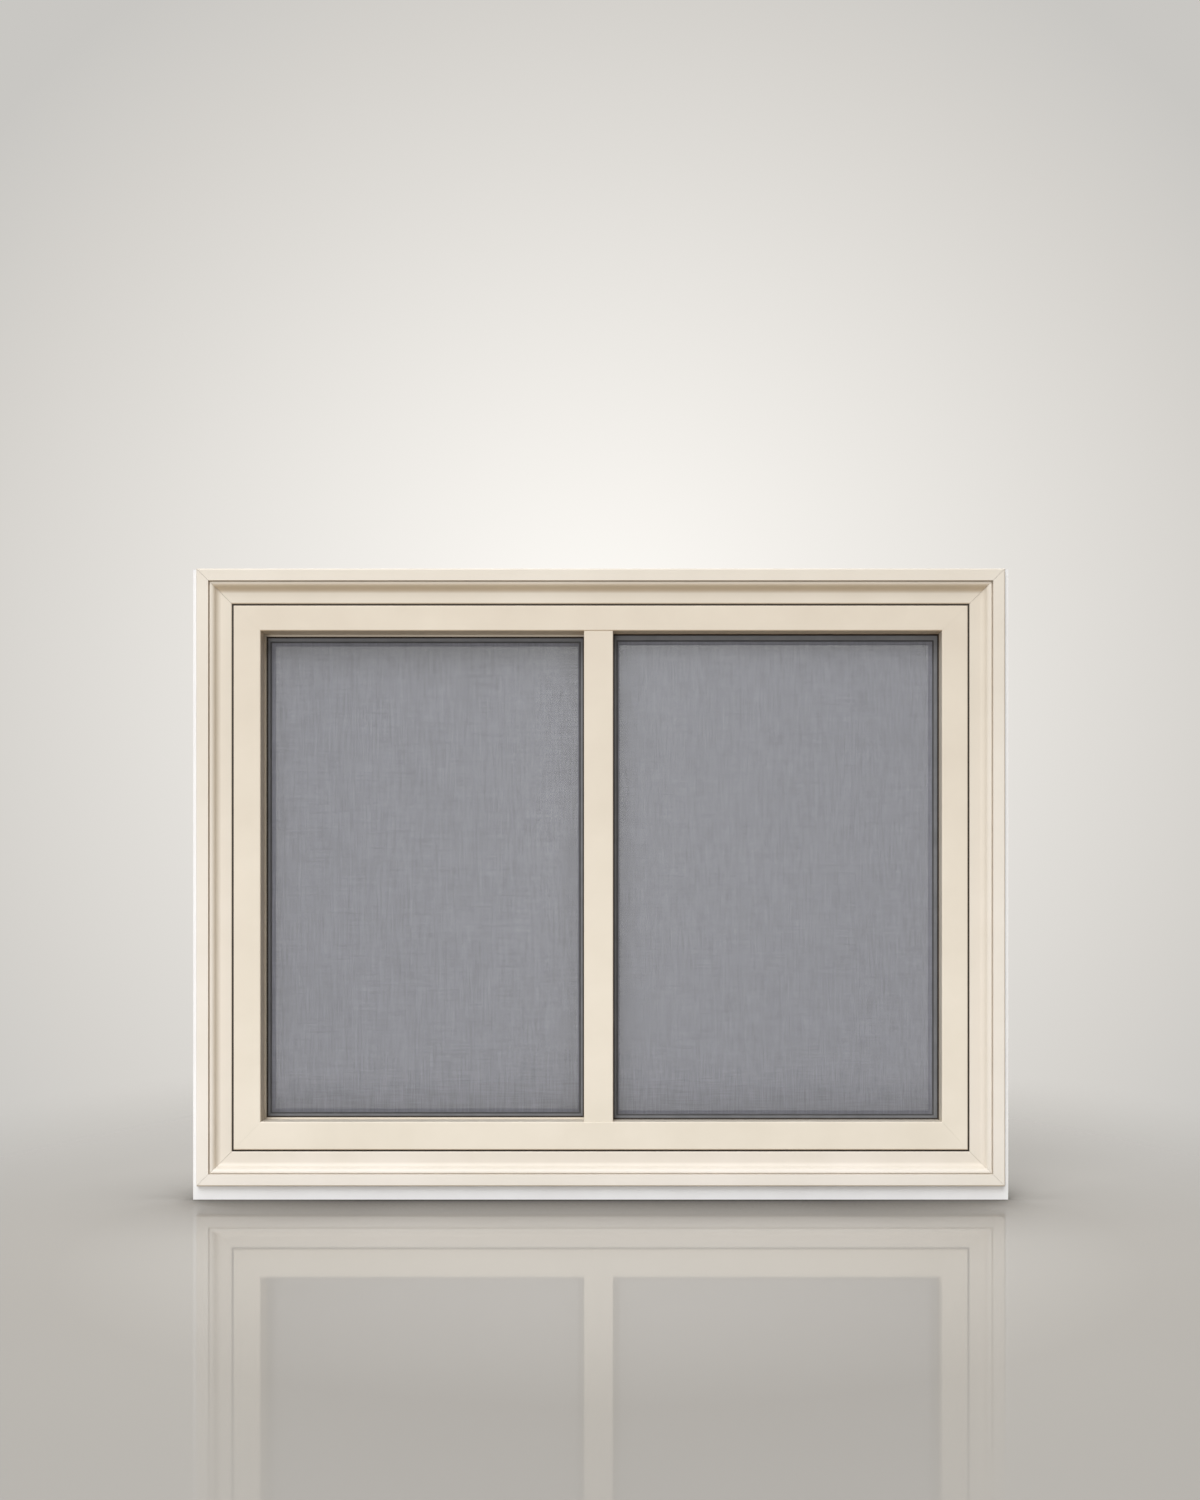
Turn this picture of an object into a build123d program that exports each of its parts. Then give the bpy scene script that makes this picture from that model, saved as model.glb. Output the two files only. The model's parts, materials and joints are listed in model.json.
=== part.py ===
from build123d import *
import math
import os

# A two-light storm window with a moulded casing, a three-track frame, two insect screens
# and two storm panes. All sizes are in mm.
# X runs to the right as seen from outdoors, the front faces -Y and Z is up.
# The origin is at mid-width of the mounting flange's lower edge, on the face that meets the wall.

# Mounting flange
flange_thick = 3.0
flange_side_reach = 6.8
flange_top_reach = 5.0
flange_foot_reach = 21.4
nosing_reach = 22.0
nosing_wall = 2.5
leg_past_frame = 14.0
screw_hole_radius = 2.75
screw_spacing = 560.0
screw_from_leg_end = 7.0

# Moulded casing
casing_width = 1222.0
casing_height = 933.6
casing_face = 51.0
lip_thick = 32.0
flat_thick = 19.0
lip_width = 18.3
lip_round = 2.6
quirk_width = 2.0
quirk_depth = 7.0
quirk_rise = 4.2
quirk_wall_lean = 0.2
quirk_slope_run = 0.4
ogee_width = 14.7
ogee_convex_share = 0.47
arris_round = 1.8
casing_slack = 0.2

# Track frame
shadow_gap = 2.5
strip_set_back = 1.4
left_stile_face = 41.2
right_stile_face = 39.4
head_face = 38.4
sill_face = 42.7
frame_slack = 0.06
jamb_lip = 1.3
frame_wall = 2.2
chamber_depth = 30.0
track_count = 3
fin_thick = 3.0
fin_proud = 1.8
sill_step = 1.5
seal_depth = 2.5
seal_proud = 2.2
seal_round = 1.0

# Centre mullion
mullion_width = 44.4
mullion_left_shift = 3.2
mullion_set_back = 1.0
mullion_round = 1.8
mullion_cover = 5.0
stem_clear = 4.5

# Screen and glass panels
panel_thick = 8.0
panel_grip = 3.0
top_grip = 1.5
slide_clear = 0.5
side_clear = 1.0
lift_clear = 6.0
bar_width = 14.7
bar_wall = 1.0
groove_width = 2.4
groove_depth = 4.5
mesh_lip = 2.0
mesh_lip_drop = 0.8
mesh_thick = 0.6
spline_sunk = 0.6
spline_round = 0.9
glass_thick = 3.0
glass_grip = 5.0
gasket_thick = 0.6

# Positions that follow from the sizes
flange_front = -flange_thick
casing_half = casing_width / 2
casing_bottom = flange_foot_reach
casing_top = casing_bottom + casing_height
flange_half = casing_half + flange_side_reach
flange_top = casing_top + flange_top_reach
opening_half = casing_half - casing_face
opening_bottom = casing_bottom + casing_face
opening_top = casing_top - casing_face
frame_half = opening_half - shadow_gap
frame_bottom = opening_bottom + shadow_gap
frame_top = opening_top - shadow_gap
frame_front = flange_front - flat_thick
track_depth = panel_thick + 2 * slide_clear
track_pitch = track_depth + fin_thick
chamber_back = frame_front + chamber_depth
frame_back = chamber_back + track_count * track_pitch
leg_back = frame_back + leg_past_frame
reveal_left = -frame_half + left_stile_face - jamb_lip
reveal_right = frame_half - right_stile_face + jamb_lip
sill_deep = [panel_grip + sill_step * (1 - track) for track in range(track_count)]
light_bottom = frame_bottom + sill_face
light_top = frame_top - head_face
mullion_left = -mullion_left_shift - mullion_width / 2
mullion_right = -mullion_left_shift + mullion_width / 2
through_all = casing_width

SIDES = ("head", "sill", "left", "right")


def slab(x0, x1, y0, y1, z0, z1):
    """A plain block between six planes."""
    centre = Pos((x0 + x1) / 2, (y0 + y1) / 2, (z0 + z1) / 2)
    return centre * Box(x1 - x0, y1 - y0, z1 - z0)


def outline(points):
    """A flat shape from its corners, first number inward from the outer edge, second along Y."""
    return Polygon(*points, align=None)


def window(u0, u1, y0, y1):
    """A rectangle in a section, used for hollows and strips."""
    return outline([(u0, y0), (u1, y0), (u1, y1), (u0, y1)])


def rounded(shape, corners, radius):
    """The same flat shape with the named corners rounded."""
    chosen = [
        vertex
        for vertex in shape.vertices()
        if any(abs(vertex.X - u) + abs(vertex.Y - y) < 1e-6 for u, y in corners)
    ]
    return fillet(chosen, radius=radius)


def mitred(section, side, rect, faces, slack=0.0, reach=1.1):
    """One length of a rectangular surround, its section run along one side and mitred at both ends.

    rect is left, right, bottom, top of the surround; faces gives each side's face width, and a
    mitre runs from the outer corner through the inner corner and on by the share in reach.
    slack is how much each end is cut short, so that a hairline joint shows.
    """
    left, right, bottom, top = rect
    if side == "head":
        start = Plane(origin=(left, 0, top), x_dir=(0, 0, -1), z_dir=(1, 0, 0))
        length = right - left
    elif side == "sill":
        start = Plane(origin=(right, 0, bottom), x_dir=(0, 0, 1), z_dir=(-1, 0, 0))
        length = right - left
    elif side == "left":
        start = Plane(origin=(left, 0, bottom), x_dir=(1, 0, 0), z_dir=(0, 0, 1))
        length = top - bottom
    else:
        start = Plane(origin=(right, 0, top), x_dir=(-1, 0, 0), z_dir=(0, 0, -1))
        length = top - bottom
    bar = extrude(start * section, amount=length)
    ends = {
        "head": [(left, top), (right, top)],
        "sill": [(right, bottom), (left, bottom)],
        "left": [(left, bottom), (left, top)],
        "right": [(right, top), (right, bottom)],
    }[side]
    outer = []
    inner = []
    for x, z in ends:
        step_x = faces["left"] if x == left else -faces["right"]
        step_z = faces["sill"] if z == bottom else -faces["head"]
        if side in ("head", "sill"):
            x += math.copysign(slack, step_x)
        else:
            z += math.copysign(slack, step_z)
        outer.append((x, z))
        inner.insert(0, (x + reach * step_x, z + reach * step_z))
    blank = Plane.XZ * Polygon(*outer, *inner, align=None)
    return bar & extrude(blank, amount=through_all, both=True)


def even(width):
    """The same face width on all four sides."""
    return {side: width for side in SIDES}


def casing_section():
    """Brickmould outline: rounded lip, quirk, ogee and inner flat, solid to the flat back."""
    lip_front = flange_front - lip_thick
    flat_front = flange_front - flat_thick
    quirk_floor = lip_front + quirk_depth
    ogee_start = lip_width + quirk_width
    ogee_end = ogee_start + ogee_width
    ogee_front = quirk_floor - quirk_rise
    drop = flat_front - ogee_front
    turn = 2 * math.atan(drop / ogee_width)
    radii = ogee_width / math.sin(turn)
    degrees = math.degrees(turn)
    back = Line((casing_face, flange_front), (0, flange_front))
    outer = Line((0, flange_front), (0, lip_front + lip_round))
    corner = RadiusArc((0, lip_front + lip_round), (lip_round, lip_front), lip_round)
    if corner.arc_center.X < lip_round / 2:
        corner = RadiusArc((0, lip_front + lip_round), (lip_round, lip_front), -lip_round)
    lip = Line((lip_round, lip_front), (lip_width, lip_front))
    base_start = (lip_width + quirk_wall_lean, quirk_floor)
    base_end = (ogee_start - quirk_slope_run, quirk_floor)
    quirk_wall = Line((lip_width, lip_front), base_start)
    quirk_base = Line(base_start, base_end)
    quirk_slope = Line(base_end, (ogee_start, ogee_front))
    convex = JernArc((ogee_start, ogee_front), (1, 0), ogee_convex_share * radii, degrees)
    concave = JernArc(convex @ 1, convex % 1, (1 - ogee_convex_share) * radii, -degrees)
    flat = Line((ogee_end, flat_front), (casing_face - arris_round, flat_front))
    arris_start = (casing_face - arris_round, flat_front)
    arris_end = (casing_face, flat_front + arris_round)
    arris = RadiusArc(arris_start, arris_end, arris_round)
    if arris.arc_center.Y < flat_front + arris_round / 2:
        arris = RadiusArc(arris_start, arris_end, -arris_round)
    inner = Line(arris_end, (casing_face, flange_front))
    edges = [outer, corner, lip, quirk_wall, quirk_base, quirk_slope, convex, concave]
    return make_face(edges + [flat, arris, inner, back])


def track_section(face, lip, deep):
    """Frame outline: a hollow front chamber, then open tracks between fins over a hollow back.

    The front wall can stand past the reveal behind it as a lip, and deep gives each track's depth
    behind the reveal.
    """
    reveal = face - lip
    lip_back = frame_front + frame_wall
    points = [(0, frame_front), (face, frame_front)]
    if lip > 0:
        points += [(face, lip_back), (reveal, lip_back)]
    points.append((reveal, chamber_back))
    y = chamber_back
    for track_deep in deep:
        floor = reveal - track_deep
        points += [(floor, y), (floor, y + track_depth)]
        points += [(reveal + fin_proud, y + track_depth), (reveal + fin_proud, y + track_pitch)]
        y += track_pitch
    points.append((0, y))
    shape = rounded(outline(points), [(0, frame_front), (face, frame_front)], arris_round)
    chamber = window(frame_wall, reveal - frame_wall, lip_back, chamber_back - frame_wall)
    hollow_end = reveal - max(deep) - frame_wall
    hollow = window(frame_wall, hollow_end, chamber_back, frame_back - frame_wall)
    return shape - chamber - hollow


def screen_section(front):
    """Screen bar outline: a hollow bar with a spline groove and a lower lip for the mesh."""
    groove_in = bar_width - mesh_lip
    groove_out = groove_in - groove_width
    back = front + panel_thick
    shape = outline(
        [
            (0, front),
            (groove_out, front),
            (groove_out, front + groove_depth),
            (groove_in, front + groove_depth),
            (groove_in, front + mesh_lip_drop),
            (bar_width, front + mesh_lip_drop),
            (bar_width, back),
            (0, back),
        ]
    )
    return shape - window(bar_wall, groove_out - bar_wall, front + bar_wall, back - bar_wall)


def spline_section(front):
    """Spline outline: fills the groove, with a rounded top a little below the bar's face."""
    groove_in = bar_width - mesh_lip
    groove_out = groove_in - groove_width
    top = front + spline_sunk
    shape = window(groove_out, groove_in, top, front + groove_depth)
    return rounded(shape, [(groove_out, top), (groove_in, top)], spline_round)


def glass_section(front):
    """Glass bar outline: a hollow bar with a channel on its inner edge for pane and gasket."""
    channel = glass_thick + 2 * gasket_thick
    channel_front = front + (panel_thick - channel) / 2
    channel_end = bar_width - glass_grip - gasket_thick
    back = front + panel_thick
    shape = window(0, bar_width, front, back)
    slot = window(channel_end, bar_width, channel_front, channel_front + channel)
    hollow = window(bar_wall, channel_end - bar_wall, front + bar_wall, back - bar_wall)
    return shape - slot - hollow


def gasket_section(front):
    """Gasket outline: a U round the pane's edge."""
    channel = glass_thick + 2 * gasket_thick
    channel_front = front + (panel_thick - channel) / 2
    channel_end = bar_width - glass_grip - gasket_thick
    shape = window(channel_end, bar_width, channel_front, channel_front + channel)
    pane_front = channel_front + gasket_thick
    return shape - window(bar_width - glass_grip, bar_width, pane_front, pane_front + glass_thick)


def ring(section, rect, faces):
    """A closed surround of four mitred lengths joined into one piece."""
    lengths = [mitred(section, side, rect, faces) for side in SIDES]
    return lengths[0] + lengths[1] + lengths[2] + lengths[3]


def panel_front(track):
    """Front face of a panel that runs in the given track, the first track being 0."""
    return chamber_back + track * track_pitch + slide_clear


def panel_rect(light, track):
    """Outer edges of a panel: gripped by the frame, resting on the sill, covered by the mullion."""
    bottom = light_bottom - sill_deep[track]
    top = light_top + top_grip
    if light == "left":
        return (reveal_left - panel_grip, mullion_left + mullion_cover, bottom, top)
    return (mullion_right - mullion_cover, reveal_right + panel_grip, bottom, top)


def sheet(rect, margin, y0, y1):
    """A flat sheet inside a panel, its edge the given margin in from the panel's edge."""
    left, right, bottom, top = rect
    return slab(left + margin, right - margin, y0, y1, bottom + margin, top - margin)


pieces = {}

# Mounting flange: the head and sill run through, the jambs stand between them.
# Each has a leg along the frame that passes the frame's back; the jamb legs take the screws.
# The sill's foot turns forward under the casing as a nosing, a channel that is open below, and the
# outer edges of the jambs turn forward along the casing's sides to meet it.
head_plate = slab(-flange_half, flange_half, flange_front, 0, frame_top, flange_top)
head_leg = slab(-opening_half, opening_half, 0, leg_back, frame_top, opening_top)
pieces["flange_head"] = head_plate + head_leg
sill_plate = slab(-flange_half, flange_half, flange_front, 0, 0, frame_bottom)
sill_leg = slab(-opening_half, opening_half, 0, leg_back, opening_bottom, frame_bottom)
nosing_front = flange_front - nosing_reach
nosing = slab(-flange_half, flange_half, nosing_front, flange_front, 0, casing_bottom)
nosing -= slab(
    -flange_half + nosing_wall,
    flange_half - nosing_wall,
    nosing_front + nosing_wall,
    flange_front,
    0,
    casing_bottom - nosing_wall,
)
pieces["flange_sill"] = sill_plate + sill_leg + nosing
jamb_middle = (frame_bottom + frame_top) / 2
screw_line = leg_back - screw_from_leg_end
for side, sign in (("left", -1), ("right", 1)):
    outer_x = sorted((sign * frame_half, sign * flange_half))
    leg_x = sorted((sign * frame_half, sign * opening_half))
    plate = slab(*outer_x, flange_front, 0, frame_bottom, frame_top)
    leg = slab(*leg_x, 0, leg_back, frame_bottom, frame_top)
    edge_x = sorted((sign * casing_half, sign * flange_half))
    wall_x = sorted((sign * (flange_half - nosing_wall), sign * flange_half))
    edge_back = nosing_front + nosing_wall
    edge = slab(*edge_x, nosing_front, edge_back, casing_bottom, casing_top)
    edge += slab(*wall_x, edge_back, flange_front, casing_bottom, casing_top)
    jamb = plate + leg + edge
    for end in (-1, 1):
        place = Pos(sign * opening_half, screw_line, jamb_middle + end * screw_spacing / 2)
        jamb -= place * Rot(0, 90, 0) * Cylinder(screw_hole_radius, through_all)
    pieces["flange_" + side] = jamb

# Casing: four mitred lengths of one moulding.
casing_rect = (-casing_half, casing_half, casing_bottom, casing_top)
moulding = casing_section()
for side in SIDES:
    length = mitred(moulding, side, casing_rect, even(casing_face), casing_slack)
    pieces["casing_" + side] = length

# Weatherstrip: fills the shadow gap between casing and frame, set back from the front.
gap_rect = (-opening_half, opening_half, opening_bottom, opening_top)
strip = window(0, shadow_gap, frame_front + strip_set_back, flange_front)
pieces["weatherstrip"] = ring(strip, gap_rect, even(shadow_gap))

# Track frame: four mitred lengths, the jambs with a lip. The panels rest on the sill's tracks, which
# step down towards the front so that water drains; the head's tracks are deeper, so that a panel can
# be lifted out.
frame_rect = (-frame_half, frame_half, frame_bottom, frame_top)
frame_faces = {
    "head": head_face,
    "sill": sill_face,
    "left": left_stile_face,
    "right": right_stile_face,
}
jamb_deep = [panel_grip + side_clear] * track_count
head_deep = [top_grip + lift_clear] * track_count
frame_sections = {
    "head": track_section(head_face, 0, head_deep),
    "sill": track_section(sill_face, 0, sill_deep),
    "left": track_section(left_stile_face, jamb_lip, jamb_deep),
    "right": track_section(right_stile_face, jamb_lip, jamb_deep),
}
for side in SIDES:
    section = frame_sections[side]
    pieces["frame_" + side] = mitred(section, side, frame_rect, frame_faces, frame_slack)

# Centre mullion: a hollow T butted between head and sill. Its wide front covers the panels' edges,
# and its stem runs back between the two lights, clear enough for a panel to be moved and lifted out.
# The left screen runs one track deeper than the right one, so the left flank is deeper too.
mullion_front = frame_front + mullion_set_back
flank_back = chamber_back + track_pitch
stem_left = mullion_left + mullion_cover + stem_clear
stem_right = mullion_right - mullion_cover - stem_clear
bar = window(mullion_left, mullion_right, mullion_front, chamber_back)
front_corners = [(mullion_left, mullion_front), (mullion_right, mullion_front)]
bar = rounded(bar, front_corners, mullion_round)
bar -= window(
    mullion_left + frame_wall,
    mullion_right - frame_wall,
    mullion_front + frame_wall,
    chamber_back - frame_wall,
)
stem = window(stem_left, stem_right, chamber_back, frame_back)
stem += window(mullion_left, stem_right, chamber_back, flank_back)
stem -= window(
    stem_left + frame_wall,
    stem_right - frame_wall,
    chamber_back,
    frame_back - frame_wall,
)
stem -= window(
    mullion_left + frame_wall,
    stem_right - frame_wall,
    chamber_back,
    flank_back - frame_wall,
)
bar_foot = Plane(origin=(0, 0, light_bottom), x_dir=(1, 0, 0), z_dir=(0, 0, 1))
stem_foot = bar_foot.offset(fin_proud)
mullion_bar = extrude(bar_foot * bar, amount=light_top - light_bottom)
stem_length = light_top - light_bottom - 2 * fin_proud
mullion_stem = extrude(stem_foot * stem, amount=stem_length)
pieces["centre_mullion"] = mullion_bar + mullion_stem

# Light seals: a dark bulb strip round each light, just in front of the screen's bars. The right
# one lies on the front chamber, the left one on the first fin, where the left screen is.
right_rect = (mullion_right, reveal_right, light_bottom, light_top)
left_rect = (
    reveal_left + fin_proud,
    mullion_left,
    light_bottom + fin_proud,
    light_top - fin_proud,
)
for light, rect, seal_back in (
    ("left", left_rect, flank_back),
    ("right", right_rect, chamber_back),
):
    seal_front = seal_back - seal_depth
    bulb = window(0, seal_proud, seal_front, seal_back)
    bulb = rounded(bulb, [(seal_proud, seal_front), (seal_proud, seal_back)], seal_round)
    pieces[light + "_light_seal"] = ring(bulb, rect, even(seal_proud))

# Panels: each light has a screen in front and a storm pane in the next track behind it.
BAR_NAMES = {
    "head": "top_rail",
    "sill": "bottom_rail",
    "left": "left_stile",
    "right": "right_stile",
}
for light, screen_track in (("right", 0), ("left", 1)):
    rect = panel_rect(light, screen_track)
    front = panel_front(screen_track)
    for side in SIDES:
        bar = mitred(screen_section(front), side, rect, even(bar_width))
        pieces[light + "_screen_" + BAR_NAMES[side]] = bar
    mesh_back = front + mesh_lip_drop
    mesh = sheet(rect, bar_width - mesh_lip, mesh_back - mesh_thick, mesh_back)
    pieces[light + "_screen_mesh"] = mesh
    pieces[light + "_screen_spline"] = ring(spline_section(front), rect, even(bar_width))
    rect = panel_rect(light, screen_track + 1)
    front = panel_front(screen_track + 1)
    for side in SIDES:
        bar = mitred(glass_section(front), side, rect, even(bar_width))
        pieces[light + "_glass_" + BAR_NAMES[side]] = bar
    pane_front = front + (panel_thick - glass_thick) / 2
    pane = sheet(rect, bar_width - glass_grip, pane_front, pane_front + glass_thick)
    pieces[light + "_glass_pane"] = pane
    pieces[light + "_glass_gasket"] = ring(gasket_section(front), rect, even(bar_width))

os.makedirs("parts", exist_ok=True)
for name, shape in pieces.items():
    shape.label = name
    export_step(shape, "parts/" + name + ".step")
print(len(pieces), "pieces written")
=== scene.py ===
# %% [markdown]
# # A cream storm window, dressed for the studio
#
# The solids of the window come ready made: a flange, a moulded casing, a track frame, a mullion
# and four slim panels. This lesson gives them their finishes, weaves the two screens, and sets up
# a floor, a camera, a backdrop and soft light. Everything is in metres, in the window's own frame:
# X to the right, the front towards -Y, Z up, and the origin at the foot of the flange.

# %% Load the window
import json
import math

import bmesh
import bpy
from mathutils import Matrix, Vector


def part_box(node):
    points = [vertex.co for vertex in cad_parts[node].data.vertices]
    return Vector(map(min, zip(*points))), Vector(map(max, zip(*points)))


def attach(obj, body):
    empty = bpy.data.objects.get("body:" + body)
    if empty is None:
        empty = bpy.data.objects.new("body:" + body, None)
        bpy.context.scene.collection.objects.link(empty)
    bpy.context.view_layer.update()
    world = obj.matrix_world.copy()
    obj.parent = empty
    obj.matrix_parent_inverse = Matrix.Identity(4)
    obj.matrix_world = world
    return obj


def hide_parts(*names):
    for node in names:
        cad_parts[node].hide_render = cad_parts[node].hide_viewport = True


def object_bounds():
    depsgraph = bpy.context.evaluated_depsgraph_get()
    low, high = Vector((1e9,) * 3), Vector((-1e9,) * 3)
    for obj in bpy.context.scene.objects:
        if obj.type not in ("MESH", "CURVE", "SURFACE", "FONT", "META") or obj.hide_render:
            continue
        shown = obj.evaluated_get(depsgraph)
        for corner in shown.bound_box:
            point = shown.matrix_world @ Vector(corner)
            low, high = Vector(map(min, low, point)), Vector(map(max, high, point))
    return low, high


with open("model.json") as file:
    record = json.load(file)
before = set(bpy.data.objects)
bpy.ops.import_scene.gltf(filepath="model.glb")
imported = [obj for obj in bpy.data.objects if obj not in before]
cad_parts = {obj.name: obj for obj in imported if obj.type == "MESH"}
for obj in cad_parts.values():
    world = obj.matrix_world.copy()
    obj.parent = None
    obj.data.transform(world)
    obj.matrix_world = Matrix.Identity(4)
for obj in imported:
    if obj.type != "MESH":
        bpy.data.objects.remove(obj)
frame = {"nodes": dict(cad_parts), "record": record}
cad_low, cad_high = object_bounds()
nodes = frame["nodes"]
print(len(nodes), "solids,", [round(b - a, 4) for a, b in zip(cad_low, cad_high)], "m overall")

# %% [markdown]
# ## Small helpers
#
# A finish is easiest to judge as the colour that a picture shows, so colours are written as sRGB
# hex and turned to linear light by one function. Shader trees are built with one more function,
# which adds a node and fills its inputs. The steps that most finishes share, such as noise, two
# tones, a tint and a fine bump, are short functions on top of it. Noise hardly ever leaves the
# range from 0.3 to 0.7, so the darker and the lighter tone of a finish sit at those two values.

# %% Colour and node helpers
MM = 0.001
DARK_END, LIGHT_END = 0.3, 0.7


def colour(hex_code):
    """Linear red, green, blue and alpha for a colour written as #rrggbb."""
    channels = [int(hex_code[i : i + 2], 16) / 255 for i in (1, 3, 5)]
    linear = [c / 12.92 if c <= 0.04045 else ((c + 0.055) / 1.055) ** 2.4 for c in channels]
    return (*linear, 1.0)


def add_node(tree, kind, settings=None, inputs=None):
    """Adds one node. Settings are its attributes; an input is a plain value or a socket to link."""
    node = tree.nodes.new(kind)
    for name, value in (settings or {}).items():
        setattr(node, name, value)
    for socket, given in (inputs or {}).items():
        if isinstance(given, bpy.types.NodeSocket):
            tree.links.new(given, node.inputs[socket])
        else:
            node.inputs[socket].default_value = given
    return node


def start_finish(name, values):
    """A new material with its Principled shader, and the Object coordinates that patterns read."""
    material = bpy.data.materials.new(name)
    material.use_nodes = True
    tree = material.node_tree
    shader = tree.nodes["Principled BSDF"]
    for socket, value in values.items():
        shader.inputs[socket].default_value = value
    place = add_node(tree, "ShaderNodeTexCoord").outputs["Object"]
    return material, tree, shader, place


def noise(tree, place, size_mm, detail):
    """Soft noise whose lumps are about size_mm wide."""
    lumps = add_node(
        tree,
        "ShaderNodeTexNoise",
        inputs={"Vector": place, "Scale": 1 / (size_mm * MM), "Detail": detail},
    )
    return lumps.outputs["Fac"]


def two_tones(tree, pattern, dark, light):
    """A colour that goes from dark to light as the pattern rises."""
    ramp = add_node(tree, "ShaderNodeValToRGB", inputs={"Fac": pattern})
    first, last = ramp.color_ramp.elements
    first.position, last.position = DARK_END, LIGHT_END
    first.color, last.color = colour(dark), colour(light)
    return ramp.outputs["Color"]


def remap(tree, value, low, high, start=0.0, end=1.0, smooth=False):
    """Goes from start to end while the value goes from low to high, and stays there beyond."""
    ranged = add_node(
        tree,
        "ShaderNodeMapRange",
        settings={"interpolation_type": "SMOOTHSTEP" if smooth else "LINEAR"},
        inputs={
            "Value": value,
            "From Min": low,
            "From Max": high,
            "To Min": start,
            "To Max": end,
        },
    )
    return ranged.outputs["Result"]


def tint(tree, base, other, amount=1.0):
    """The base colour times another one, as far as the amount says."""
    mix = add_node(
        tree,
        "ShaderNodeMix",
        settings={"data_type": "RGBA", "blend_type": "MULTIPLY"},
        inputs={0: amount, 6: base, 7: other},
    )
    return mix.outputs[2]


def calculate(tree, operation, first, second=0.0):
    """One step of arithmetic on numbers."""
    step = add_node(
        tree, "ShaderNodeMath", settings={"operation": operation}, inputs={0: first, 1: second}
    )
    return step.outputs["Value"]


def length_of(tree, vector):
    """How long a vector is."""
    measured = add_node(
        tree, "ShaderNodeVectorMath", settings={"operation": "LENGTH"}, inputs={0: vector}
    )
    return measured.outputs["Value"]


def split(tree, vector):
    """The X, Y and Z outputs of a vector."""
    return add_node(tree, "ShaderNodeSeparateXYZ", inputs={"Vector": vector}).outputs


def roughen(tree, shader, place, size_mm, detail, strength, depth_mm):
    """A bump of soft noise on a shader, size_mm wide and depth_mm deep."""
    bump = add_node(
        tree,
        "ShaderNodeBump",
        inputs={
            "Height": noise(tree, place, size_mm, detail),
            "Strength": strength,
            "Distance": depth_mm * MM,
        },
    )
    tree.links.new(bump.outputs["Normal"], shader.inputs["Normal"])


finishes = {}
print("helpers ready")

# %% [markdown]
# ## Painted light and shade on the creams
#
# Both cream finishes get the same painted light and shade, so one function mixes their colour. The
# lower members are painted paler than the head, as painted light, and faces that look down or a
# little to the right, away from the key lamp, get a thin brown tint as painted shade. Height comes
# from Object coordinates and the shaded side from the way the surface faces, so the marks stay in
# place when the window is turned round.

# %% One cream colour with painted light and shade, for both creams
SHADED_SIDE = (0.3, 0.0, -0.954)
SHADE_STARTS, SHADE_FULL = 0.03, 0.55
SHADE_BROWN = "#EBE0D0"


def cream_with_painted_light(tree, place, cloud_mm, head_tones, sill_tones):
    """A cloudy cream: the head's two tones turn into the sill's paler two as painted light, and
    faces on the shaded side get a brown tint as painted shade.
    """
    clouds = noise(tree, place, cloud_mm, detail=3.0)
    lit_by_height = add_node(
        tree,
        "ShaderNodeMix",
        settings={"data_type": "RGBA"},
        inputs={
            0: remap(tree, split(tree, place)["Z"], cad_low.z, cad_high.z),
            6: two_tones(tree, clouds, *sill_tones),
            7: two_tones(tree, clouds, *head_tones),
        },
    ).outputs[2]
    facing = add_node(tree, "ShaderNodeTexCoord").outputs["Normal"]
    toward_shade = add_node(
        tree,
        "ShaderNodeVectorMath",
        settings={"operation": "DOT_PRODUCT"},
        inputs={0: facing, 1: SHADED_SIDE},
    )
    painted_shade = remap(tree, toward_shade.outputs["Value"], SHADE_STARTS, SHADE_FULL)
    return tint(tree, lit_by_height, colour(SHADE_BROWN), painted_shade)


# The brown tint on faces that look this way is painted shade.
print("film on faces that look towards", SHADED_SIDE)

# %% [markdown]
# ## Cream paint
#
# The frame and mullion are aluminium extrusions with a baked cream enamel. The eye sees an almost
# even cream, a soft satin sheen and a very slight orange peel. Cloudy patches about 90 mm wide
# shift the cream by a percent or two. Real orange peel is about 1 mm across, too fine to show
# here, so it is drawn at 2 mm.

# %% Cream enamel on the frame and mullion
cream_paint, tree, shader, place = start_finish(
    "baked_cream_enamel", {"Roughness": 0.36, "IOR": 1.5}
)
# Painted light: the head's tones are darker and the sill's paler; painted shade browns the shaded
# side.
cream = cream_with_painted_light(
    tree,
    place,
    cloud_mm=90,
    head_tones=("#DFD3C2", "#E5DAC9"),
    sill_tones=("#EBE2D2", "#F1E8D9"),
)
tree.links.new(cream, shader.inputs["Base Color"])
roughen(tree, shader, place, size_mm=2, detail=1.0, strength=0.05, depth_mm=0.05)
finishes["cream_paint"] = cream_paint
print("made", cream_paint.name)

# %% [markdown]
# ## Cream foamed plastic
#
# The casing is a foamed plastic moulding, painted to match. It is a touch lighter and more matt
# than the frame. Its lip stands forward, and the flat behind the lip is toned a shade darker as
# painted shade in the recess, so the cream is toned down by depth. Object coordinates give the
# depth along Y.

# %% Painted foamed plastic on the casing
LIP_DEPTH = -34 * MM
FLAT_DEPTH = -24 * MM
RECESS_SHADE = "#F8F6F3"

cream_pvc, tree, shader, place = start_finish(
    "painted_foamed_plastic", {"Roughness": 0.42, "IOR": 1.48}
)
# Painted light: the head's tones are darker and the sill's paler; painted shade browns the shaded
# side.
cream = cream_with_painted_light(
    tree,
    place,
    cloud_mm=120,
    head_tones=("#E5DCCE", "#EBE3D6"),
    sill_tones=("#EFE8DD", "#F5EEE5"),
)
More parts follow.
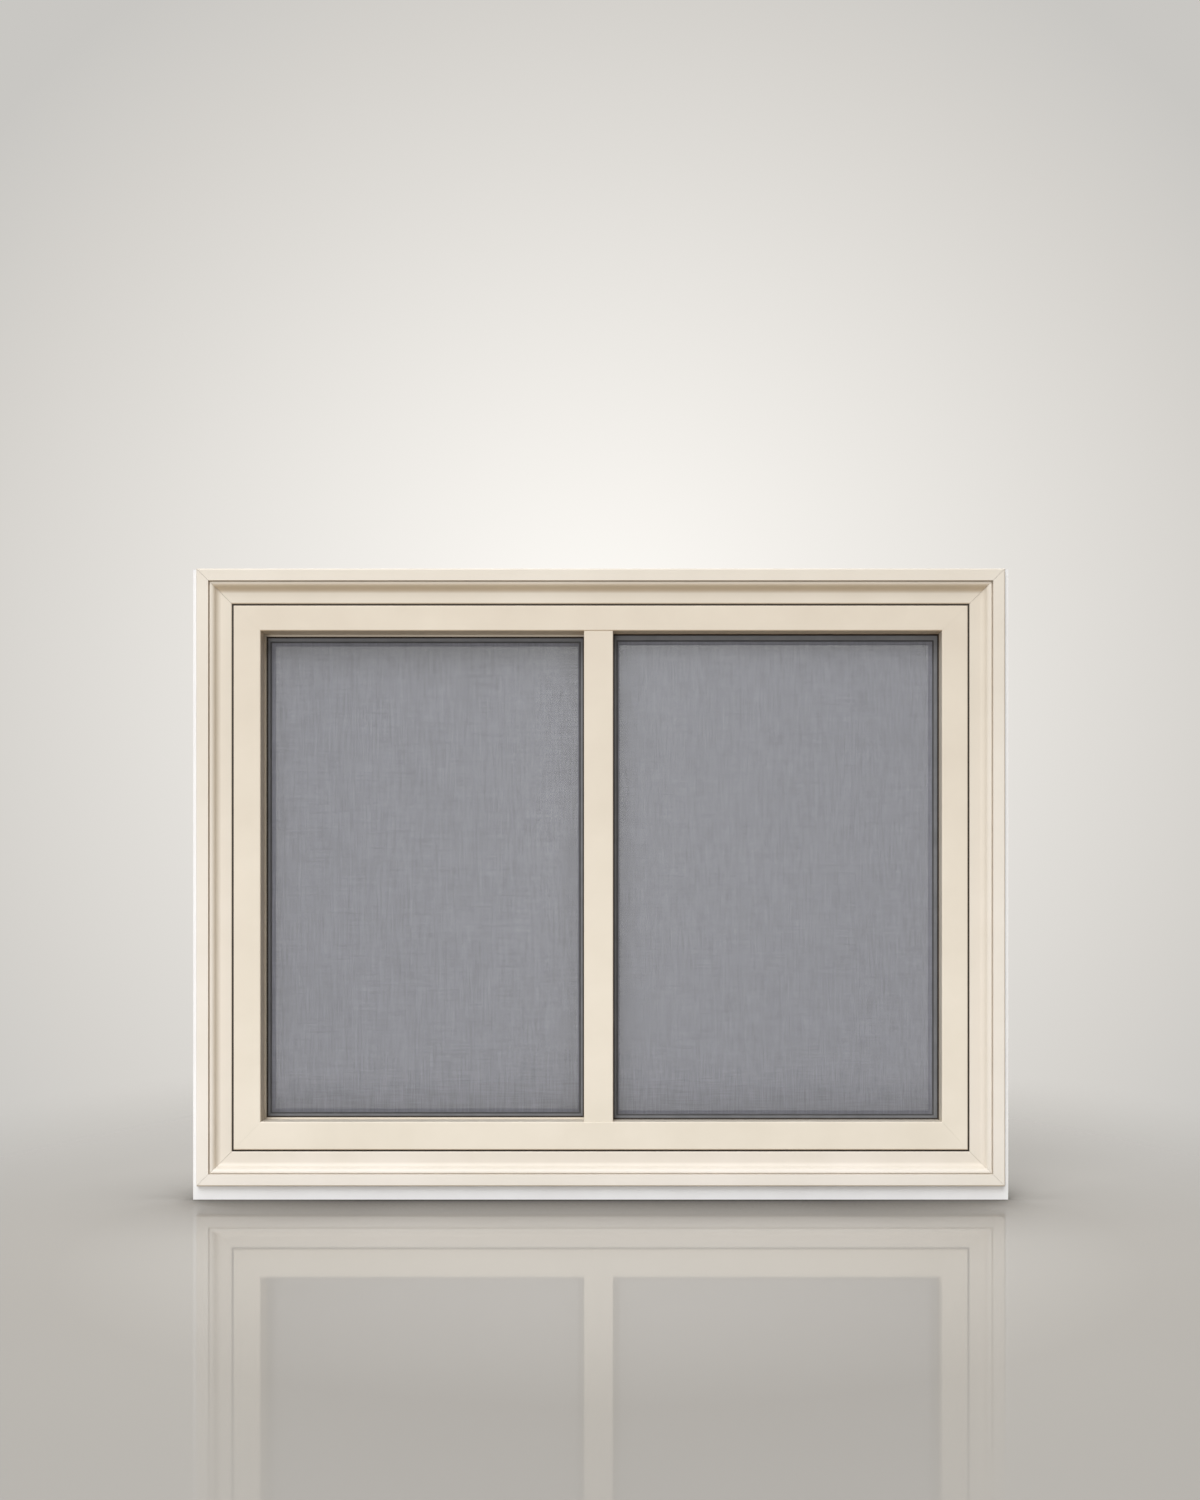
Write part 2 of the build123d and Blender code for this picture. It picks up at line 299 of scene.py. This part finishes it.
# Painted shade: darker from the lip back to the flat behind it.
recess_shade = remap(tree, split(tree, place)["Y"], LIP_DEPTH, FLAT_DEPTH)
tree.links.new(tint(tree, cream, colour(RECESS_SHADE), recess_shade), shader.inputs["Base Color"])
roughen(tree, shader, place, size_mm=2.5, detail=2.0, strength=0.06, depth_mm=0.06)
finishes["cream_pvc"] = cream_pvc
print("made", cream_pvc.name)

# %% [markdown]
# ## White plastic, charcoal powder coat, black rubber and brown vinyl
#
# The flange is bare white plastic, smooth from the extruder. The panel bars are rolled aluminium
# with a charcoal powder coat, whose grit is about 0.4 mm and is drawn at 1 mm so that it shows.
# The splines and gaskets are black rubber, matt, with a grey bloom. The weatherstrip between
# casing and frame and the seals round the lights are dark brown vinyl, which reads as a thin line
# at the bottom of its gap; that dark brown is also painted shade, standing in for the shadow deep
# in those gaps. All four are made alike, with cloudy tones and a fine bump, so one loop makes
# them. A row holds the finish's name, its two tones, its roughness and index, and the sizes of its
# patches and grit in millimetres.

# %% The four plainer finishes
PLAIN = {
    "white_pvc": ("extruded_white_plastic", "#F4F3F3", "#F8F8F8", 0.4, 1.53, 60, 3.0),
    "charcoal_paint": ("charcoal_powder_coat", "#707174", "#7B7C7F", 0.48, 1.5, 25, 1.0),
    "black_rubber": ("black_rubber", "#48484A", "#545456", 0.7, 1.52, 18, 1.5),
    # The vinyl's dark brown is partly painted shade, standing in for the shadow in its gap.
    "brown_vinyl": ("dark_vinyl_with_gap_shade", "#20170D", "#2C2116", 0.6, 1.52, 18, 1.5),
}
for slot, (name, dark, light, roughness, ior, patch_mm, grit_mm) in PLAIN.items():
    material, tree, shader, place = start_finish(name, {"Roughness": roughness, "IOR": ior})
    patches = noise(tree, place, patch_mm, detail=3.0)
    tree.links.new(two_tones(tree, patches, dark, light), shader.inputs["Base Color"])
    roughen(tree, shader, place, grit_mm, detail=1.0, strength=0.15, depth_mm=0.05)
    finishes[slot] = material
    print("made", name)

# %% [markdown]
# ## Clear glass
#
# The storm panes are 3 mm float glass. Soda-lime glass has an index near 1.52 and a faint green
# cast that shows at its edges, so the colour is just off white. A broad, very weak ripple keeps
# its reflections from being perfectly flat.

# %% Float glass
glass, tree, shader, place = start_finish(
    "float_glass",
    {
        "Base Color": colour("#F6FAF8"),
        "Roughness": 0.0,
        "IOR": 1.52,
        "Transmission Weight": 1.0,
    },
)
roughen(tree, shader, place, size_mm=160, detail=0.0, strength=0.02, depth_mm=0.2)
finishes["clear_glass"] = glass
print("made", glass.name)

# %% [markdown]
# ## Screen cloth
#
# The screens are woven from grey coated yarn, so tightly that hardly any light comes through. Yarns
# differ a little in shade along their length, which gives the cloth its linen-like streaks. Three
# noises make them: one drawn out upright for the warp, one drawn out sideways for the weft, and
# a broad one for faint patches. A streak on the real cloth is one yarn wide, well under 1 mm,
# and is drawn 1.5 mm wide so that it shows.
#
# The cloth is painted darker above the bottom rail and beside the mullion, as painted shade where
# the frame keeps light off. How far a point is from those two edges, in metres, comes from the UV
# map that each cloth gets when it is woven.

# %% Coated yarn
STREAK_DEPTH_MM = 40
WEFT_SHARE = 0.4
PATCH_SHARE = 0.14
EDGE_SHADE_UV = "from_dusty_edges"
MULLION_SHADE_MM, MULLION_SHADE_TONE = 38, 0.84
SILL_SHADE_MM, SILL_SHADE_TONE = 55, 0.75

yarn, tree, shader, place = start_finish(
    "coated_polyester_yarn", {"Roughness": 0.75, "IOR": 1.5, "Specular IOR Level": 0.25}
)


def streaks(tree, place, wide_mm, tall_mm):
    """Noise whose lumps are wide_mm by tall_mm on the face of the cloth."""
    sizes = (wide_mm, STREAK_DEPTH_MM, tall_mm)
    stretched = add_node(
        tree,
        "ShaderNodeMapping",
        inputs={"Vector": place, "Scale": [1 / (size * MM) for size in sizes]},
    )
    lumps = add_node(
        tree,
        "ShaderNodeTexNoise",
        inputs={"Vector": stretched.outputs["Vector"], "Scale": 1.0, "Detail": 1.0},
    )
    return lumps.outputs["Fac"]


def blend(tree, first, second, share):
    """Two patterns mixed, the second with the given share."""
    mix = add_node(
        tree,
        "ShaderNodeMix",
        settings={"data_type": "FLOAT"},
        inputs={"Factor": share, "A": first, "B": second},
    )
    return mix.outputs["Result"]


warp = streaks(tree, place, wide_mm=1.5, tall_mm=34.0)
weft = streaks(tree, place, wide_mm=36.0, tall_mm=1.5)
patches = streaks(tree, place, wide_mm=14.0, tall_mm=22.0)
grain = blend(tree, blend(tree, warp, weft, WEFT_SHARE), patches, PATCH_SHARE)
grey = two_tones(tree, grain, "#777880", "#91929C")
edge_distances = add_node(tree, "ShaderNodeUVMap", settings={"uv_map": EDGE_SHADE_UV}).outputs["UV"]
apart = split(tree, edge_distances)
# Painted shade: the cloth darkens towards the mullion and the bottom rail.
beside = remap(tree, apart["X"], 0.0, MULLION_SHADE_MM * MM, start=MULLION_SHADE_TONE)
over = remap(tree, apart["Y"], 0.0, SILL_SHADE_MM * MM, start=SILL_SHADE_TONE)
tree.links.new(tint(tree, tint(tree, grey, beside), over), shader.inputs["Base Color"])
finishes["screen_mesh"] = yarn
print("made", yarn.name)

# %% [markdown]
# ## Dress the solids
#
# Every solid already has one material slot, and the record says which finish belongs in it. Only
# the slot changes: the solids themselves are left as they are.

# %% Put each finish in its slot
for part in frame["record"]["subparts"]:
    nodes[part["node"]].material_slots[0].material = finishes[part["material_slot"]]

# %% [markdown]
# ## Weave the screens
#
# Each screen's solid is a plain sheet, which stands for a cloth of about 340 upright and 520
# level yarns. A see-through pattern would be lighter, but it vanishes when the model leaves
# Blender, so the yarns are real: each is one flattened six-sided bar. Upright yarns lie in the
# front half of the sheet and level ones in the back half, so they touch where they cross. Such a
# cloth has a yarn about every 0.7 mm; here they are 1.4 mm apart, so that they can be seen.

# %% Weave one cloth from a sheet's box
YARN_PITCH = 1.4 * MM
YARN_WIDTH = 1.03 * MM
YARN_SIDES = 6
FLAT_TO_FLAT = math.cos(math.pi / YARN_SIDES)


def yarn_bar(width, thick, length):
    """A flattened six-sided bar along Z, centred on the origin."""
    mesh = bmesh.new()
    bmesh.ops.create_cone(
        mesh, cap_ends=True, segments=YARN_SIDES, radius1=0.5, radius2=0.5, depth=1.0
    )
    bmesh.ops.scale(mesh, vec=(width, thick / FLAT_TO_FLAT, length), verts=mesh.verts)
    return mesh


def weave(name, low, high, inner):
    """A cloth that fills the box from low to high; inner is the edge beside the mullion."""
    thick = (high.y - low.y) / 2
    middle = (low + high) / 2
    cloth = bmesh.new()
    runs = (
        (0, high.x - low.x, high.z - low.z, low.y + thick / 2),
        (2, high.z - low.z, high.x - low.x, high.y - thick / 2),
    )
    for axis, spread, length, depth in runs:
        bar = yarn_bar(YARN_WIDTH, thick, length)
        if axis == 2:
            for vertex in bar.verts:
                vertex.co = (vertex.co.z, vertex.co.y, -vertex.co.x)
        strand = bpy.data.meshes.new("strand")
        bar.to_mesh(strand)
        bar.free()
        count = int(spread / YARN_PITCH)
        for i in range(count):
            before = len(cloth.verts)
            cloth.from_mesh(strand)
            cloth.verts.ensure_lookup_table()
            place = [middle.x, depth, middle.z]
            place[axis] += (i - (count - 1) / 2) * YARN_PITCH
            bmesh.ops.translate(cloth, vec=place, verts=cloth.verts[before:])
        bpy.data.meshes.remove(strand)
    bmesh.ops.recalc_face_normals(cloth, faces=cloth.faces)
    from_edges = cloth.loops.layers.uv.new(EDGE_SHADE_UV)
    for face in cloth.faces:
        for loop in face.loops:
            corner = loop.vert.co
            loop[from_edges].uv = (abs(corner.x - inner), corner.z - low.z)
    data = bpy.data.meshes.new(name)
    cloth.to_mesh(data)
    cloth.free()
    piece = bpy.data.objects.new(name, data)
    bpy.context.scene.collection.objects.link(piece)
    data.materials.append(yarn)
    return piece


for light in ("left", "right"):
    sheet = light + "_screen_mesh"
    low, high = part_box(sheet)
    inner = high.x if light == "left" else low.x
    piece = weave(light + "_screen_cloth", low, high, inner)
    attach(piece, "root")
    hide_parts(sheet)
    print(piece.name, len(piece.data.polygons), "faces")

# %% [markdown]
# ## Floor
#
# The window stands on a pale floor that runs into the backdrop without an edge. The floor is a
# plain plane. In front of the window it is a little paler, as if in a pool of light, and it takes
# the shadow and a faint reflection. Further out it turns clear, so that the backdrop's colour
# takes over. Both are ovals round a spot in front of the window, so one function measures them.

# %% Floor plane
FLOOR_HALF = 7.0
FLOOR_DROP = 0.4 * MM

floor_mesh = bmesh.new()
bmesh.ops.create_grid(floor_mesh, x_segments=1, y_segments=1, size=FLOOR_HALF)
bmesh.ops.translate(floor_mesh, vec=(0, 0, -FLOOR_DROP), verts=floor_mesh.verts)
floor_data = bpy.data.meshes.new("studio_floor")
floor_mesh.to_mesh(floor_data)
floor_mesh.free()
floor = bpy.data.objects.new("studio_floor", floor_data)
bpy.context.scene.collection.objects.link(floor)
print("floor", floor.dimensions[:])

# %% Pool of light on the floor
POOL_EDGES = (0.2, 1.5)
POOL_TONES = ((0.0, "#C4C0BA"), (0.5, "#B1ADA7"), (1.0, "#B0ADA8"))

floor_paint, tree, shader, place = start_finish(
    "painted_studio_floor", {"Roughness": 0.04, "IOR": 1.18}
)
floor_data.materials.append(floor_paint)


def out_from_spot(tree, place, middle, half_width, half_depth):
    """How far a point is from a spot on the floor, 1 being the edge of an oval round it."""
    spot = add_node(
        tree,
        "ShaderNodeMapping",
        inputs={
            "Vector": place,
            "Location": (0.0, -middle / half_depth, 0.0),
            "Scale": (1 / half_width, 1 / half_depth, 0.0),
        },
    )
    return length_of(tree, spot.outputs["Vector"])


def many_tones(tree, pattern, tones):
    """A colour ramp with a stop for each position and tone, the first at 0 and the last at 1."""
    ramp = add_node(tree, "ShaderNodeValToRGB", inputs={"Fac": pattern})
    stops = ramp.color_ramp.elements
    stops[0].color = colour(tones[0][1])
    stops[1].color = colour(tones[-1][1])
    for position, tone in tones[1:-1]:
        stops.new(position).color = colour(tone)
    return ramp.outputs["Color"]


from_pool = out_from_spot(tree, place, middle=-0.27, half_width=0.82, half_depth=0.9)
pool = many_tones(tree, remap(tree, from_pool, *POOL_EDGES, smooth=True), POOL_TONES)
print("pool of light with", len(POOL_TONES), "tones")

# %% [markdown]
# ## Shade at the foot
#
# Close to the foot, where little light gets in, ambient occlusion darkens the floor and takes its
# reflection away. The shade is deepest in the middle and thinner at the two ends, where light
# comes round the window.

# %% Contact shade, sheen and clear edge
SHADE_REACH = 0.3
SHADE_SAMPLES = 8
SHADE_THINS_FROM = 0.35
DEEPEST_MIDDLE, DEEPEST_END = 0.15, 0.42
SHADE_EDGES = (0.44, 0.99)
SHEEN_EDGES = (0.76, 1.0)
FULL_SHEEN = 0.46
CLEAR_EDGES = (1.5, 3.0)

openness = add_node(
    tree,
    "ShaderNodeAmbientOcclusion",
    settings={"samples": SHADE_SAMPLES},
    inputs={"Distance": SHADE_REACH},
).outputs["AO"]
from_middle = calculate(tree, "ABSOLUTE", split(tree, place)["X"])
deepest = remap(
    tree, from_middle, SHADE_THINS_FROM, cad_high.x, start=DEEPEST_MIDDLE, end=DEEPEST_END
)
shade = remap(tree, openness, *SHADE_EDGES, start=deepest)
tree.links.new(tint(tree, pool, shade), shader.inputs["Base Color"])
sheen = remap(tree, openness, *SHEEN_EDGES, end=FULL_SHEEN)
tree.links.new(sheen, shader.inputs["Specular IOR Level"])
from_window = out_from_spot(tree, place, middle=-0.45, half_width=0.55, half_depth=1.2)
clear = add_node(tree, "ShaderNodeBsdfTransparent")
seamless = add_node(
    tree,
    "ShaderNodeMixShader",
    inputs={
        "Fac": remap(tree, from_window, *CLEAR_EDGES, smooth=True),
        1: shader.outputs["BSDF"],
        2: clear.outputs["BSDF"],
    },
)
tree.links.new(seamless.outputs["Shader"], tree.nodes["Material Output"].inputs["Surface"])
print("made", floor_paint.name)

# %% [markdown]
# ## Camera
#
# The uprights in the picture are parallel, so the camera looks level and its frame is shifted up
# instead of the camera being tilted. One pixel of a 1200 by 1500 picture covers 1.518 mm at the
# frame's front face, 2.35 m away, and the lens is level with row 925.

# %% Camera and picture settings
DISTANCE = 2.350
FACE = -0.022
PIXEL = 1.518 * MM
PICTURE_ROWS = 1500
LENS_ROW = 925
LENS_HEIGHT = 0.4163
LENS_ASIDE = -1.0 * MM

view = bpy.data.cameras.new("camera")
view.sensor_width = 36.0
view.lens = view.sensor_width * DISTANCE / (PICTURE_ROWS * PIXEL)
view.shift_y = (LENS_ROW - PICTURE_ROWS / 2) / PICTURE_ROWS
camera = bpy.data.objects.new("camera", view)
camera.location = (LENS_ASIDE, FACE - DISTANCE, LENS_HEIGHT)
camera.rotation_euler = (math.pi / 2, 0, 0)
bpy.context.scene.collection.objects.link(camera)
bpy.context.scene.camera = camera
bpy.context.scene.view_settings.view_transform = "Standard"
print("lens", round(view.lens, 2), "mm, shift", round(view.shift_y, 4))

# %% [markdown]
# ## Backdrop
#
# The studio behind the window is a pale paper with a glow in its middle. It is painted on the
# world by direction: a point's distance from the middle of the glow picks its tone, in front of
# and behind the window alike. Only rays that look at the backdrop see it, straight or through
# glass or in a reflection. For the light that it sheds, a plain even white takes its place.

# %% World with a glow, and an even light
PIXEL_TANGENT = PIXEL / DISTANCE
GLOW_ROW = 650
GLOW_PIXELS = 800
GLOW_HEIGHT = (LENS_ROW - GLOW_ROW) * PIXEL_TANGENT
GLOW_REACH = GLOW_PIXELS * PIXEL_TANGENT
LEAST_AHEAD = 0.05
AMBIENT = 0.26
PAPER_TONES = (
    (0.0, "#FFFDF8"),
    (0.16, "#F8F5F0"),
    (0.37, "#EDEAE5"),
    (0.62, "#DFDCD7"),
    (0.8, "#D5D2CD"),
    (1.0, "#C9C7C3"),
)

world = bpy.data.worlds.new("studio")
bpy.context.scene.world = world
world.use_nodes = True
tree = world.node_tree
tree.nodes.clear()
way = split(tree, add_node(tree, "ShaderNodeTexCoord").outputs["Generated"])
ahead = calculate(tree, "MAXIMUM", calculate(tree, "ABSOLUTE", way["Y"]), LEAST_AHEAD)
aside = calculate(tree, "DIVIDE", way["X"], ahead)
above = calculate(tree, "SUBTRACT", calculate(tree, "DIVIDE", way["Z"], ahead), GLOW_HEIGHT)
from_glow = add_node(tree, "ShaderNodeCombineXYZ", inputs={"X": aside, "Y": above})
share = remap(tree, length_of(tree, from_glow.outputs["Vector"]), 0.0, GLOW_REACH)
paper = many_tones(tree, share, PAPER_TONES)
ray = add_node(tree, "ShaderNodeLightPath").outputs
looking = calculate(tree, "MAXIMUM", ray["Is Camera Ray"], ray["Is Glossy Ray"])
looking = calculate(tree, "MAXIMUM", looking, ray["Is Transmission Ray"])
seen = add_node(tree, "ShaderNodeBackground", inputs={"Color": paper, "Strength": 1.0})
shed = add_node(
    tree, "ShaderNodeBackground", inputs={"Color": colour("#FFFDFA"), "Strength": AMBIENT}
)
either = add_node(
    tree,
    "ShaderNodeMixShader",
    inputs={"Fac": looking, 1: shed.outputs["Background"], 2: seen.outputs["Background"]},
)
add_node(tree, "ShaderNodeOutputWorld", inputs={"Surface": either.outputs["Shader"]})
print("backdrop with", len(PAPER_TONES), "tones")

# %% [markdown]
# ## Lamps
#
# Two large soft lamps stand so far off that their light is even from the head to the sill, as a
# sun lamp's is, so they are made as sun lamps with a wide angle. The key is in front, above and a
# little to the left: ledges that face up shine and hollows that face down go dark. The other one
# is above and behind, and only draws the soft shadow at the window's foot.
#
# The third lamp is a square fill, low in front, which lights the recesses and the white nosing
# under the sill. It is a softbox 4.6 m away, kept out of reflections and clear glass, because its
# mirror image would show in the panes behind the cloth. A lamp's strength is set from how bright
# a white card square to it would look, 1 being white.

# %% Key, back and fill light


def far_lamp(name, azimuth, elevation, spread, card):
    """A far soft lamp; azimuth is to the right of straight ahead, spread the angle it fills."""
    data = bpy.data.lights.new(name, "SUN")
    data.angle = math.radians(spread)
    data.energy = card * math.pi
    lamp = bpy.data.objects.new(name, data)
    lamp.rotation_euler = (math.radians(90 - elevation), 0, math.radians(azimuth))
    bpy.context.scene.collection.objects.link(lamp)
    print(name, round(data.energy, 2), "W/m2")


def near_lamp(name, azimuth, height, distance, size, card):
    """A square soft lamp at a distance from the foot of the window, level and turned to it."""
    data = bpy.data.lights.new(name, "AREA")
    data.size = size
    data.energy = card * math.pi**2 * distance**2
    lamp = bpy.data.objects.new(name, data)
    turn = math.radians(azimuth)
    lamp.location = (distance * math.sin(turn), -distance * math.cos(turn), height)
    lamp.rotation_euler = (math.pi / 2, 0, turn)
    lamp.visible_camera = False
    lamp.visible_glossy = False
    lamp.visible_transmission = False
    bpy.context.scene.collection.objects.link(lamp)
    print(name, round(data.energy, 2), "W")


far_lamp("key_lamp", azimuth=-15, elevation=46, spread=42, card=0.58)
far_lamp("back_lamp", azimuth=180, elevation=78, spread=30, card=0.3)
near_lamp("fill_lamp", azimuth=-14, height=0.65, distance=4.6, size=1.2, card=0.3)
